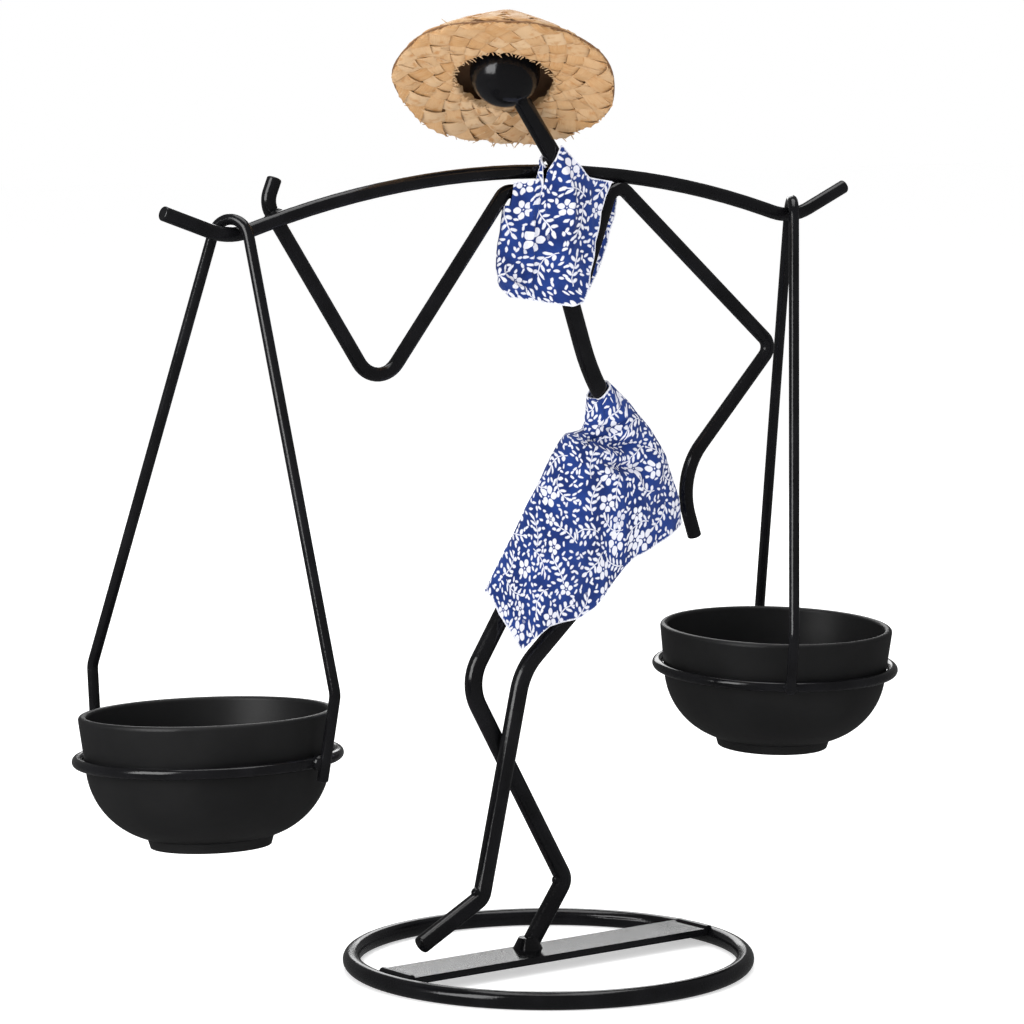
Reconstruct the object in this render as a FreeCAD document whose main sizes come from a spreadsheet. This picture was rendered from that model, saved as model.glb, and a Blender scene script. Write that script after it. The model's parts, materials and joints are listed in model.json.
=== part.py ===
import FreeCAD, Part
import math
import os

import Sketcher
from FreeCAD import Placement, Rotation, Vector

# A welded wire figure that carries two bowls on a shoulder pole.
# Millimetres, +Z up.  The origin is the centre of the base ring on the table.
# +X runs along the base bar and the pole, towards the figure's back;
# the figure walks towards -X, and -Y is the side with the front foot.

# ---------------------------------------------------------------- driving dimensions

SIZES = {
    # bar stock, diameters
    "body_rod": 5.0,
    "arm_rod": 4.0,
    "pole_rod": 4.0,
    "bail_wire": 3.0,
    "end_round": 0.6,
    # base
    "ring_radius": 55.0,
    "bar_length": 103.6,
    "bar_width": 15.0,
    "bar_thick": 2.0,
    "foot_weld_foot": 4.2,
    "foot_weld_top": 2.6,
    "foot_weld_height": 3.2,
    "foot_weld_back": 1.2,
    # depths of the three upright layers: body, pole, arms
    "body_depth": -2.37,
    "body_lean": 1.0,
    "pole_depth": 6.0,
    "arm_depth": 5.85,
    "arm_turn": -3.0,
    "back_leg_depth": 3.2,
    "back_leg_lean": 0.83,
    # head and hat
    "head_radius": 9.6,
    "head_x": -12.9,
    "head_z": 248.6,
    "head_in_hat": 2.0,
    "straw": 1.0,
    "crown_middle": 16.4,
    "crown_middle_rise": 9.8,
    "crown_top": 5.2,
    "crown_top_rise": 17.9,
    "crown_rise": 21.2,
    "brim_inner": 13.6,
    "brim_radius": 30.4,
    "brim_drop": 1.2,
    "brim_thick": 1.4,
    # bowls
    "rim_radius": 33.9,
    "bowl_height": 35.5,
    "bowl_wall": 2.2,
    "foot_radius": 16.8,
    "foot_height": 2.6,
    "foot_hollow": 13.6,
    "bowl_shoulder": 32.2,
    "shoulder_drop": 14.5,
    "belly_round": 21.0,
    "bowl_ring_radius": 34.3,
    "ring_below_rim": 12.0,
    # bails
    "hook_gap": 0.5,
    "bail_top_half": 4.6,
    "bail_top_bend": 6.0,
    "bail_knee_half": 39.9,
    "bail_knee_bend": 6.0,
    "bail_foot_half": 37.15,
    "bail_foot_below": 2.8,
    # cloth
    "cloth": 1.0,
    "blouse_front": -3.3,
    "blouse_back": 9.8,
    "skirt_front": -6.0,
    "skirt_back": 9.8,
    "cloth_slack": 6.0,
    "collar_radius": 4.3,
    "collar_bore": 2.8,
    "collar_length": 5.0,
    "collar_start": 5.0,
}

# The corners of each bent rod in its own upright plane: name, x, z, bend radius.
BODY_CORNERS = [
    ("crown", -9.1, 243.2, 0),
    ("nape", 5.4, 222.8, 9),
    ("back", 7.3, 190.0, 45),
    ("waist", 15.4, 165.2, 60),
    ("hip", 40.9, 127.2, 8),
    ("knee", -9.6, 84.4, 18),
    ("ankle", -24.3, 25.1, 0),
]
BACK_LEG_CORNERS = [
    ("waist", 24.4, 154.1, 0),
    ("knee", -24.7, 81.4, 12),
    ("ankle", 6.87, 25.77, 0),
]
ARM_CORNERS = [
    ("left_hand", -83.4, 221.2, 0),
    ("left_wrist", -86.1, 214.5, 6),
    ("left_elbow", -51.7, 162.4, 7.5),
    ("left_shoulder", -9.8, 216.0, 3.6),
    ("left_chest", -4.0, 216.2, 2.6),
    ("left_rib", -7.0, 189.3, 3.5),
    ("right_rib", 14.9, 185.9, 3.5),
    ("right_shoulder", 27.2, 218.8, 4),
    ("right_elbow", 83.2, 169.9, 3.5),
    ("right_wrist", 49.8, 134.1, 20),
    ("right_hand", 55.7, 116.4, 0),
]
POLE_CORNERS = [
    ("left_tip", -121.3, 213.0, 0),
    ("left_saddle", -100.8, 205.9, 20),
    ("middle", -2.8, 234.3, 312),
    ("right_saddle", 94.2, 206.0, 20),
    ("right_tip", 114.8, 214.9, 0),
]
# Each foot carries on its leg's line to the heel, then bends forward to the toe.
FRONT_FOOT = [("shank", -24.3, 25.1, 0), ("heel", -24.87, 22.8, 3.5), ("toe", -45.9, 12.1, 0)]
BACK_FOOT = [("shank", 6.87, 25.77, 0), ("heel", 8.5, 22.9, 3.5), ("toe", -3.6, 6.6, 0)]

# Outlines of the two cloth pieces, seen from the figure's -Y side: name, x, z.
BLOUSE_OUTLINE = [
    ("neck_left", -1.6, 222.4),
    ("neck_top", 3.0, 224.0),
    ("neck_right", 9.0, 222.0),
    ("shoulder_right", 22.0, 218.4),
    ("side_right", 26.6, 207.5),
    ("hem_right", 18.6, 184.0),
    ("hem_left", -11.4, 186.4),
    ("side_left", -12.0, 206.0),
    ("shoulder_left", -8.8, 218.6),
]
SKIRT_OUTLINE = [
    ("waist_left", 13.0, 160.4),
    ("waist_right", 21.5, 163.0),
    ("seat", 35.0, 149.0),
    ("hip", 46.0, 123.0),
    ("hem_front", 27.0, 110.6),
    ("hem_tip", -7.0, 90.6),
    ("hem_back", -15.6, 104.4),
    ("thigh", -0.9, 128.0),
]

# Each side of the pole: hinge x and z, carrier ring centre x and z, knee above the ring,
# bail turn about the vertical, and the tilt of the ring about the pole's direction.
CARRIERS = {
    "left": {
        "hinge_x": -100.2, "hinge_z": 206.85, "ring_x": -109.0, "ring_z": 69.9,
        "knee_rise": 20.0, "turn": -70.6, "tilt": -2.5,
    },
    "right": {
        "hinge_x": 94.4, "hinge_z": 207.25, "ring_x": 88.8, "ring_z": 76.0,
        "knee_rise": 13.0, "turn": -124.0, "tilt": 2.5,
    },
}

# The direction that the hat's crown points in: tipped towards the back of the head.
HAT_AXIS = Vector(0.389, 0.403, 0.828).normalize()

# Weld beads: centre x, depth and z, radius, and length along Y where one is drawn out.
BEADS = {
    "bar_welds": [(-52.6, 0.0, 4.4, 1.35, 14.0), (52.6, 0.0, 4.4, 1.35, 14.0)],
    "hip_weld": [(23.0, 2.7, 152.2, 3.3, 0)],
    "neck_weld": [(5.6, 3.9, 221.3, 2.6, 0)],
    "torso_weld": [(8.3, 3.3, 187.0, 2.6, 0)],
    "hand_weld": [(-83.7, 8.25, 210.9, 2.4, 0)],
    "ankle_welds": [(-26.85, -2.1, 24.4, 1.4, 0), (5.6, 3.3, 23.1, 1.4, 0)],
}


# ---------------------------------------------------------------- document and sheet

doc = FreeCAD.newDocument("carrier_figure")
sheet = doc.addObject("Spreadsheet::Sheet", "Sizes")


def fill_sheet():
    """Write every driving dimension into the sheet under its own alias."""
    rows = dict(SIZES)
    rods = {
        "body": BODY_CORNERS, "back_leg": BACK_LEG_CORNERS, "arm": ARM_CORNERS,
        "pole": POLE_CORNERS, "front_foot": FRONT_FOOT, "back_foot": BACK_FOOT,
        "blouse": BLOUSE_OUTLINE, "skirt": SKIRT_OUTLINE,
    }
    for prefix, corners in rods.items():
        for name, *numbers in corners:
            for letter, number in zip(("x", "z", "bend"), numbers):
                rows[f"{prefix}_{name}_{letter}"] = number
    for side, places in CARRIERS.items():
        for name, number in places.items():
            rows[f"{side}_{name}"] = number
    for row, (alias, number) in enumerate(rows.items(), start=1):
        sheet.set(f"A{row}", alias)
        sheet.set(f"B{row}", str(number))
        sheet.setAlias(f"B{row}", alias)
    doc.recompute()


def size(expression):
    """The value of an expression in the sheet's aliases."""
    return float(sheet.evalExpression(expression))


def bind(thing, **expressions):
    """Bind properties of an object to expressions in the sheet's aliases."""
    for name, expression in expressions.items():
        thing.setExpression(name, in_sheet(expression))


def in_sheet(expression):
    """Put the sheet's name before each alias of an expression."""
    words = []
    for word in expression.replace("(", " ( ").replace(")", " ) ").split():
        is_alias = word[0].isalpha() and word not in ("sin", "cos", "tan", "sqrt")
        words.append(f"Sizes.{word}" if is_alias else word)
    return " ".join(words)


# ---------------------------------------------------------------- sketches

def origin_feature(body, role):
    """The body's own origin plane or axis of the given role."""
    for feature in body.Origin.OriginFeatures:
        if feature.Role == role:
            return feature
    raise ValueError(role)


def new_body(label):
    body = doc.addObject("PartDesign::Body", label)
    body.Label = label
    return body


def sketch_on(body, role, name):
    sketch = body.newObject("Sketcher::SketchObject", name)
    sketch.AttachmentSupport = [(origin_feature(body, role), "")]
    sketch.MapMode = "FlatFace"
    return sketch


def pin(sketch, geometry, position, across, up):
    """Hold a point of a sketch at two sheet expressions from the origin."""
    for kind, expression in (("DistanceX", across), ("DistanceY", up)):
        where = Sketcher.Constraint(kind, -1, 1, geometry, position, size(expression))
        index = sketch.addConstraint(where)
        sketch.setExpression(f"Constraints[{index}]", in_sheet(expression))


def hold_radius(sketch, geometry, expression):
    index = sketch.addConstraint(Sketcher.Constraint("Radius", geometry, size(expression)))
    sketch.setExpression(f"Constraints[{index}]", in_sheet(expression))


def bent_path(sketch, corners):
    """Straight runs between named corners, joined by tangent bends."""
    spots = [Vector(size(across), size(up), 0) for _, across, up, _ in corners]
    bends = [
        tangent_bend(*spots[index:index + 3], size(corners[index + 1][3]))
        for index in range(len(spots) - 2)
    ]
    starts = [spots[0]] + [leave for _, leave, _, _ in bends]
    ends = [entry for entry, _, _, _ in bends] + [spots[-1]]
    runs = [sketch.addGeometry(Part.LineSegment(a, b)) for a, b in zip(starts, ends)]
    for index, (entry, leave, centre, side) in enumerate(bends):
        _, across, up, radius = corners[index + 1]
        first, last = (entry, leave) if side > 0 else (leave, entry)
        angles = [math.atan2(spot.y - centre.y, spot.x - centre.x) for spot in (first, last)]
        circle = Part.Circle(centre, Vector(0, 0, 1), size(radius))
        arc = sketch.addGeometry(Part.ArcOfCircle(circle, *angles))
        at_entry, at_leave = (1, 2) if side > 0 else (2, 1)
        sketch.addConstraint(Sketcher.Constraint("Tangent", runs[index], 2, arc, at_entry))
        sketch.addConstraint(Sketcher.Constraint("Tangent", runs[index + 1], 1, arc, at_leave))
        hold_radius(sketch, arc, radius)
        corner = sketch.addGeometry(Part.Point(spots[index + 1]), True)
        for run in runs[index:index + 2]:
            sketch.addConstraint(Sketcher.Constraint("PointOnObject", corner, 1, run))
        pin(sketch, corner, 1, across, up)
    pin(sketch, runs[0], 1, *corners[0][1:3])
    pin(sketch, runs[-1], 2, *corners[-1][1:3])
    return runs[0]


def tangent_bend(before, corner, after, radius):
    """Where a bend starts and ends, its centre, and its side: +1 turns left, -1 right."""
    way_in = (corner - before).normalize()
    way_out = (after - corner).normalize()
    reach = radius * math.tan(way_in.getAngle(way_out) / 2)
    side = 1 if way_in.cross(way_out).z > 0 else -1
    entry = corner - way_in * reach
    centre = entry + Vector(-way_in.y, way_in.x, 0) * side * radius
    return entry, corner + way_out * reach, centre, side


def sheet_corners(prefix, corners):
    """The sheet's aliases for a rod's named corners."""
    return [
        (name, *(f"{prefix}_{name}_{letter}" for letter in ("x", "z", "bend")))
        for name, *_ in corners
    ]


def closed_outline(sketch, points, bulges=None):
    """A closed outline through pairs of sheet expressions, straight unless an edge bulges.

    bulges gives an edge's number its radius and its side, +1 for left of travel, -1 for right.
    """
    bulges = bulges or {}
    spots = [Vector(size(across), size(up), 0) for across, up in points]
    edges = []
    for number, (a, b) in enumerate(zip(spots, spots[1:] + spots[:1])):
        if number not in bulges:
            edges.append((sketch.addGeometry(Part.LineSegment(a, b)), 1, 2))
            continue
        radius, side = bulges[number]
        arc = sketch.addGeometry(bulging_arc(a, b, size(radius), side))
        hold_radius(sketch, arc, radius)
        edges.append((arc, 1, 2) if side < 0 else (arc, 2, 1))
    for (edge, _, end), (following, start, _) in zip(edges, edges[1:] + edges[:1]):
        sketch.addConstraint(Sketcher.Constraint("Coincident", edge, end, following, start))
    for (edge, start, _), (across, up) in zip(edges, points):
        pin(sketch, edge, start, across, up)


def bulging_arc(a, b, radius, side):
    """The arc of a radius from a to b that bulges to one side of the way from a to b."""
    along = b - a
    outward = Vector(-along.y, along.x, 0).normalize() * side
    centre = (a + b) * 0.5 - outward * math.sqrt(radius ** 2 - (along.Length / 2) ** 2)
    first, last = (a, b) if side < 0 else (b, a)
    angles = [math.atan2(spot.y - centre.y, spot.x - centre.x) for spot in (first, last)]
    return Part.ArcOfCircle(Part.Circle(centre, Vector(0, 0, 1), radius), *angles)


# ---------------------------------------------------------------- rods

def bent_rod(label, corners, gauge, place, flush=None):
    """A round rod swept along its bent path, its ends softened apart from a flush one."""
    body = new_body(label)
    path = sketch_on(body, "XZ_Plane", f"{label}_path")
    first_run = bent_path(path, corners)
    doc.recompute()
    section = body.newObject("Sketcher::SketchObject", f"{label}_section")
    section.AttachmentSupport = [(path, f"Edge{first_run + 1}")]
    section.MapMode = "NormalToEdge"
    section.MapPathParameter = 0.0
    circle = section.addGeometry(Part.Circle(Vector(), Vector(0, 0, 1), size(gauge) / 2))
    section.addConstraint(Sketcher.Constraint("Coincident", circle, 3, -1, 1))
    hold_radius(section, circle, f"{gauge} / 2")
    pipe = body.newObject("PartDesign::AdditivePipe", f"{label}_pipe")
    pipe.Profile = section
    pipe.Spine = (path, [])
    doc.recompute()
    soften_ends(body, pipe, label, flush)
    body.Placement = place
    return body


def soften_ends(body, pipe, label, flush):
    """Round a rod's cut ends; the "low" or "high" one stays square where it is welded flush."""
    flat = [face for face in pipe.Shape.Faces if isinstance(face.Surface, Part.Plane)]
    flat.sort(key=lambda face: face.CenterOfMass.z)
    flat = {"low": flat[1:], "high": flat[:-1]}.get(flush, flat)
    rims = []
    for number, edge in enumerate(pipe.Shape.Edges, start=1):
        if any(edge.isSame(rim) for face in flat for rim in face.Edges):
            rims.append(f"Edge{number}")
    soft = body.newObject("PartDesign::Fillet", f"{label}_ends")
    soft.Base = (pipe, rims)
    bind(soft, Radius="end_round")
    body.Tip = soft
    doc.recompute()


def upright(depth, turn=0.0, lean=0.0):
    """Place an upright plane at a depth, turned about Z, then leaned about X."""
    lean_back = Rotation(Vector(1, 0, 0), -lean)
    turned = Rotation(Vector(0, 0, 1), turn)
    return Placement(Vector(0, depth, 0), turned.multiply(lean_back))


def body_place():
    return upright(size("body_depth"), lean=size("body_lean"))


def back_leg_place():
    return upright(size("back_leg_depth"), lean=size("back_leg_lean"))


def build_rods():
    """The bent rods that make the figure, and its pole."""
    arms = upright(size("arm_depth"), turn=size("arm_turn"))
    pole = upright(size("pole_depth"))
    rods = [
        ("body_rod", "body", BODY_CORNERS, "body_rod", body_place(), "low"),
        ("back_leg", "back_leg", BACK_LEG_CORNERS, "body_rod", back_leg_place(), "low"),
        ("front_foot", "front_foot", FRONT_FOOT, "body_rod", body_place(), "high"),
        ("back_foot", "back_foot", BACK_FOOT, "body_rod", back_leg_place(), "high"),
        ("arm_torso_rod", "arm", ARM_CORNERS, "arm_rod", arms, None),
        ("carrying_pole", "pole", POLE_CORNERS, "pole_rod", pole, None),
    ]
    for label, prefix, corners, gauge, place, flush in rods:
        bent_rod(label, sheet_corners(prefix, corners), gauge, place, flush)


# ---------------------------------------------------------------- solids and booleans

def cut(label, base, *tools):
    """The base with each tool taken out of it; the last cut carries the label."""
    for number, tool in enumerate(tools, start=1):
        result = doc.addObject("Part::Cut", f"{label}_cut{number}")
        result.Base = base
        result.Tool = tool
        base = result
    base.Label = label
    doc.recompute()
    return base


def torus(label, ring_radius, wire, place):
    ring = doc.addObject("Part::Torus", label)
    ring.Label = label
    bind(ring, Radius1=ring_radius, Radius2=f"{wire} / 2")
    ring.Placement = place
    return ring


def revolved(label, points, place, bulges=None):
    """A closed profile turned a full turn about Z."""
    body = new_body(label)
    sketch = sketch_on(body, "XZ_Plane", f"{label}_profile")
    closed_outline(sketch, points, bulges)
    turn = body.newObject("PartDesign::Revolution", f"{label}_turn")
    turn.Profile = sketch
    turn.ReferenceAxis = (sketch, ["V_Axis"])
    turn.Angle = 360
    doc.recompute()
    body.Placement = place
    return body


def sleeve(label, outline, hollow, front, back):
    """A flat cloth tube: a padded outline with a hollow that runs out of its open edges."""
    body = new_body(label)
    outer = sketch_on(body, "XZ_Plane", f"{label}_outline")
    closed_outline(outer, outline)
    pad = body.newObject("PartDesign::Pad", f"{label}_pad")
    pad.Profile = outer
    pad.Midplane = True
    bind(pad, Length=f"{back} - {front}")
    doc.recompute()
    inner = sketch_on(body, "XZ_Plane", f"{label}_hollow")
    closed_outline(inner, hollow)
    pocket = body.newObject("PartDesign::Pocket", f"{label}_pocket")
    pocket.Profile = inner
    pocket.Midplane = True
    bind(pocket, Length=f"{back} - {front} - 2 * cloth")
    body.Placement = Placement(Vector(0, size(f"({front} + {back}) / 2"), 0), Rotation())
    doc.recompute()
    if pocket.Shape.Volume > 0.7 * pad.Shape.Volume:
        raise RuntimeError(f"{label}: its hollow was not cut")
    return body


# ---------------------------------------------------------------- base, head and joints

def build_base():
    """The ring that stands on the table, and the flat bar let into it."""
    seam_aside = Rotation(Vector(0, 0, 1), 90)
    level = Vector(0, 0, size("body_rod / 2"))
    torus("base_ring", "ring_radius", "body_rod", Placement(level, seam_aside))
    body = new_body("base_bar")
    sketch = sketch_on(body, "XY_Plane", "base_bar_outline")
    half_length = "bar_length / 2"
    half_width = "bar_width / 2"
    closed_outline(sketch, [
        (f"- {half_length}", f"- {half_width}"), (half_length, f"- {half_width}"),
        (half_length, half_width), (f"- {half_length}", half_width),
    ])
    pad = body.newObject("PartDesign::Pad", "base_bar_pad")
    pad.Profile = sketch
    bind(pad, Length="bar_thick")
    body.Placement = lift("body_rod - bar_thick")


def lift(expression):
    return Placement(Vector(0, 0, size(expression)), Rotation())


def find(label):
    return doc.getObjectsByLabel(label)[0]


def build_head():
    """A ball with the end of the neck let into it."""
    ball = doc.addObject("Part::Sphere", "head_sphere")
    bind(ball, Radius="head_radius")
    ball.Placement = Placement(head_centre(), Rotation())
    cut("head_ball", ball, find("body_rod"))


def head_centre():
    return body_place().multVec(Vector(size("head_x"), 0, size("head_z")))


def bead(name, spot, radius, length=0):
    """One blob of weld metal before the parts it joins are taken out of it."""
    if not length:
        blob = doc.addObject("Part::Sphere", name)
        blob.Radius = radius
        blob.Placement = Placement(Vector(*spot), Rotation())
        return blob
    bar = doc.addObject("Part::Cylinder", f"{name}_bar")
    bar.Radius, bar.Height = radius, length
    along_y = Rotation(Vector(1, 0, 0), -90)
    bar.Placement = Placement(Vector(*spot) - Vector(0, length / 2, 0), along_y)
    blob = doc.addObject("Part::Fillet", name)
    blob.Base = bar
    blob.Edges = [(edge, 0.9 * radius, 0.9 * radius) for edge in (1, 3)]
    doc.recompute()
    return blob


def weld(label, blobs, joined):
    """The beads of one weld, each shaped by the parts that they join."""
    if len(blobs) == 1:
        return cut(label, blobs[0], *joined)
    shaped = [cut(f"{blob.Name}_shaped", blob, *joined) for blob in blobs]
    group = doc.addObject("Part::Compound", label)
    group.Label = label
    group.Links = shaped
    return group


def build_frame_welds():
    joined = {
        "bar_welds": ["base_ring", "base_bar"],
        "hip_weld": ["body_rod", "back_leg"],
        "neck_weld": ["body_rod", "carrying_pole"],
        "torso_weld": ["body_rod", "arm_torso_rod"],
        "hand_weld": ["carrying_pole", "arm_torso_rod"],
        "ankle_welds": ["body_rod", "front_foot", "back_leg", "back_foot"],
    }
    for label, places in BEADS.items():
        blobs = [
            bead(f"{label}_bead{number}", place[:3], *place[3:])
            for number, place in enumerate(places, start=1)
        ]
        weld(label, blobs, [find(name) for name in joined[label]])
    build_foot_weld()


def build_foot_weld():
    """The ring of weld metal where the back foot's toe stands on the bar."""
    toe = back_leg_place().multVec(Vector(size("back_foot_toe_x"), 0, 0))
    mound = doc.addObject("Part::Cone", "foot_mound")
    bind(mound, Radius1="foot_weld_foot", Radius2="foot_weld_top", Height="foot_weld_height")
    centre = Vector(toe.x - size("foot_weld_back"), toe.y, size("body_rod"))
    mound.Placement = Placement(centre, Rotation())
    cut("foot_weld", mound, find("back_foot"))


# ---------------------------------------------------------------- hat

def build_hat():
    """A pointed straw cone on a flat brim turned in under it, tipped back on the head."""
    tipped = Rotation(Vector(0, 0, 1), HAT_AXIS)
    place = Placement(head_centre() - HAT_AXIS * size("head_in_hat"), tipped)
    wall = "1.7 * straw"
    brim_width = "(brim_radius - brim_inner)"
    revolved("hat_crown", [
        ("brim_radius", "- brim_drop"),
        ("crown_middle", "crown_middle_rise"),
        ("crown_top", "crown_top_rise"),
        ("0", "crown_rise"),
        ("0", "crown_rise - 1.3 * straw"),
        ("crown_top - 0.7 * straw", "crown_top_rise - 0.8 * straw"),
        ("crown_middle - 0.7 * straw", "crown_middle_rise - 0.8 * straw"),
        (f"brim_radius - {wall}", f"- brim_drop * (1 - {wall} / {brim_width})"),
    ], place)
    revolved("hat_brim", [
        ("brim_inner", "0"),
        ("brim_inner", "- brim_thick"),
        ("brim_radius", "- brim_thick - brim_drop"),
        ("brim_radius", "- brim_drop"),
    ], place)


# ---------------------------------------------------------------- carriers and bowls

def ring_place(side):
    """A carrier ring's centre, with the ring tilted about the pole's direction."""
    centre = Vector(size(f"{side}_ring_x"), size("pole_depth"), size(f"{side}_ring_z"))
    return Placement(centre, Rotation(Vector(1, 0, 0), size(f"{side}_tilt")))


def bowl_profile():
    """Half of the bowl's section, with its rim's centre at the origin."""
    return [
        ("rim_radius", "0"),
        ("rim_radius - bowl_wall", "0"),
        ("bowl_shoulder - bowl_wall", "- shoulder_drop"),
        ("foot_radius - 0.4 * bowl_wall", "- bowl_height + foot_height + bowl_wall"),
        ("0", "- bowl_height + foot_height + bowl_wall"),
        ("0", "- bowl_height + foot_height"),
        ("foot_hollow", "- bowl_height + foot_height"),
        ("foot_hollow", "- bowl_height"),
        ("foot_radius - 0.8", "- bowl_height"),
        ("foot_radius", "- bowl_height + foot_height"),
        ("bowl_shoulder", "- shoulder_drop"),
    ]


def build_bowl(side):
    """A bowl with a turned foot, a round belly and a softened lip."""
    above_ring = Placement(Vector(0, 0, size("ring_below_rim")), Rotation())
    belly = {2: ("belly_round - bowl_wall", 1), 9: ("belly_round", -1)}
    place = ring_place(side).multiply(above_ring)
    body = revolved(f"{side}_bowl", bowl_profile(), place, belly)
    turn = body.Tip
    lip = body.newObject("PartDesign::Fillet", f"{side}_bowl_lip")
    lip.Base = (turn, rim_edges(turn.Shape))
    bind(lip, Radius="0.45 * bowl_wall")
    body.Tip = lip
    doc.recompute()


def rim_edges(shape):
    """The two round edges at the top of a bowl, level with its origin."""
    return [
        f"Edge{number}" for number, edge in enumerate(shape.Edges, start=1)
        if isinstance(edge.Curve, Part.Circle) and abs(edge.Curve.Center.z) < 0.01
    ]


def bail_corners(side):
    """The bail's corners about its hinge point: foot, knee, hook, hook, knee, foot."""
    ring = f"{side}_ring_z - {side}_hinge_z"
    heights = [
        ("foot", "bail_foot_half", f"{ring} - bail_foot_below", "0"),
        ("knee", "bail_knee_half", f"{ring} + {side}_knee_rise", "bail_knee_bend"),
        ("hook", "bail_top_half", "pole_rod / 2 + hook_gap + bail_wire / 2", "bail_top_bend"),
    ]
    far = [(f"far_{name}", f"- {half}", up, bend) for name, half, up, bend in heights]
    near = [(f"near_{name}", half, up, bend) for name, half, up, bend in reversed(heights)]
    return far + near


def bail_place(side):
    """Turned about the vertical and leaned so that it hangs over its ring."""
    hinge = Vector(size(f"{side}_hinge_x"), size("pole_depth"), size(f"{side}_hinge_z"))
    drop = size(f"{side}_hinge_z - {side}_ring_z")
    lean = math.degrees(math.atan2(size(f"{side}_hinge_x - {side}_ring_x"), drop))
    leaned = Rotation(Vector(0, 1, 0), lean)
    return Placement(hinge, leaned.multiply(Rotation(Vector(0, 0, 1), size(f"{side}_turn"))))


def build_carrier(side):
    """A bent wire bail welded to the ring that its bowl sits in."""
    place = bail_place(side)
    bail = bent_rod(f"{side}_bail", bail_corners(side), "bail_wire", place)
    ring = torus(f"{side}_bowl_ring", "bowl_ring_radius", "bail_wire", ring_place(side))
    ring_level = size(f"{side}_ring_z - {side}_hinge_z")
    contact = size("bowl_ring_radius + bail_wire / 2")
    rise = math.sin(math.radians(size(f"{side}_tilt")))
    blobs = []
    for name, way in (("far", -1), ("near", 1)):
        spot = place.multVec(Vector(way * contact, 0, ring_level))
        spot.z = size(f"{side}_ring_z") + (spot.y - size("pole_depth")) * rise
        blobs.append(bead(f"{side}_{name}_bead", spot, 2.1))
    weld(f"{side}_bail_welds", blobs, [bail, ring])


# ---------------------------------------------------------------- cloth

def build_blouse():
    """A flat halter top round the chest loop, open at the hem, arms and neck."""
    outline = [(f"blouse_{name}_x", f"blouse_{name}_z") for name, _, _ in BLOUSE_OUTLINE]
    above = "blouse_neck_top_z + cloth_slack"
    hollow = [
        ("blouse_hem_left_x + cloth", "blouse_hem_left_z - cloth_slack"),
        ("blouse_hem_right_x - cloth", "blouse_hem_left_z - cloth_slack"),
        ("blouse_hem_right_x - cloth", "blouse_hem_right_z"),
        ("blouse_side_right_x - cloth", "blouse_side_right_z - cloth"),
        ("blouse_side_right_x + cloth_slack", "blouse_side_right_z - cloth"),
        ("blouse_side_right_x + cloth_slack", above),
        ("blouse_side_left_x - cloth_slack", above),
        ("blouse_side_left_x - cloth_slack", "blouse_side_left_z - cloth"),
        ("blouse_side_left_x + cloth", "blouse_side_left_z - cloth"),
    ]
    sleeve("blouse", outline, hollow, "blouse_front", "blouse_back")


def build_skirt():
    """A flat wrap skirt round the hips and thighs, open at the waist and the slanting hem."""
    outline = [(f"skirt_{name}_x", f"skirt_{name}_z") for name, _, _ in SKIRT_OUTLINE]
    below = "skirt_hem_tip_z - cloth_slack"
    above = "skirt_waist_right_z + cloth_slack"
    hollow = [
        ("skirt_waist_left_x + cloth", above),
        ("skirt_waist_right_x - cloth", above),
        ("skirt_waist_right_x - cloth", "skirt_waist_right_z"),
        ("skirt_seat_x - cloth", "skirt_seat_z"),
        ("skirt_hip_x - cloth", "skirt_hip_z"),
        ("skirt_hip_x - cloth", below),
        ("skirt_hem_back_x + cloth", below),
        ("skirt_hem_back_x + cloth", "skirt_hem_back_z"),
        ("skirt_thigh_x + cloth", "skirt_thigh_z"),
        ("skirt_waist_left_x + cloth", "skirt_waist_left_z"),
    ]
    sleeve("skirt", outline, hollow, "skirt_front", "skirt_back")


def build_neck_tie():
    """The strip of cloth that ties the blouse round the neck."""
    up_neck = Vector(
        size("body_crown_x - body_nape_x"), 0, size("body_crown_z - body_nape_z")
    ).normalize()
    nape = Vector(size("body_nape_x"), 0, size("body_nape_z"))
    along = Rotation(Vector(0, 0, 1), up_neck)
    place = body_place().multiply(Placement(nape + up_neck * size("collar_start"), along))
    rolls = []
    for name, radius in (("collar_roll", "collar_radius"), ("collar_bore", "collar_bore")):
        roll = doc.addObject("Part::Cylinder", name)
        bind(roll, Radius=radius, Height="collar_length")
        roll.Placement = place
        rolls.append(roll)
    cut("neck_tie", *rolls)


# ---------------------------------------------------------------- build, check, write

def pieces():
    """The finished sub-parts: solids that are neither cut further nor grouped."""
    solid = ("PartDesign::Body", "Part::Torus", "Part::Cut", "Part::Compound")
    return [
        thing for thing in doc.Objects
        if thing.TypeId in solid and not any(is_raw(thing, user) for user in thing.InList)
    ]


def is_raw(thing, user):
    """Whether the user is a cut of the thing, or a group that holds it."""
    if user.TypeId == "Part::Cut":
        return user.Base == thing
    return user.TypeId == "Part::Compound"


def check_and_write():
    doc.recompute()
    for thing in doc.Objects:
        if "Invalid" in thing.State or "Error" in thing.State:
            raise RuntimeError(f"{thing.Label} failed: {thing.State}")
    os.makedirs("parts", exist_ok=True)
    for piece in pieces():
        if piece.Shape.isNull() or not piece.Shape.isValid():
            raise RuntimeError(f"{piece.Label} has no valid shape")
        piece.Shape.exportStep(f"parts/{piece.Label}.step")
        print(f"{piece.Label}: {piece.Shape.Volume:.0f} mm3, {len(piece.Shape.Solids)} solids")


fill_sheet()
build_base()
build_rods()
build_head()
build_frame_welds()
build_hat()
for carrier_side in CARRIERS:
    build_carrier(carrier_side)
    build_bowl(carrier_side)
build_blouse()
build_skirt()
build_neck_tie()
check_and_write()
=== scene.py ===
import json
import math
import random

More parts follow.
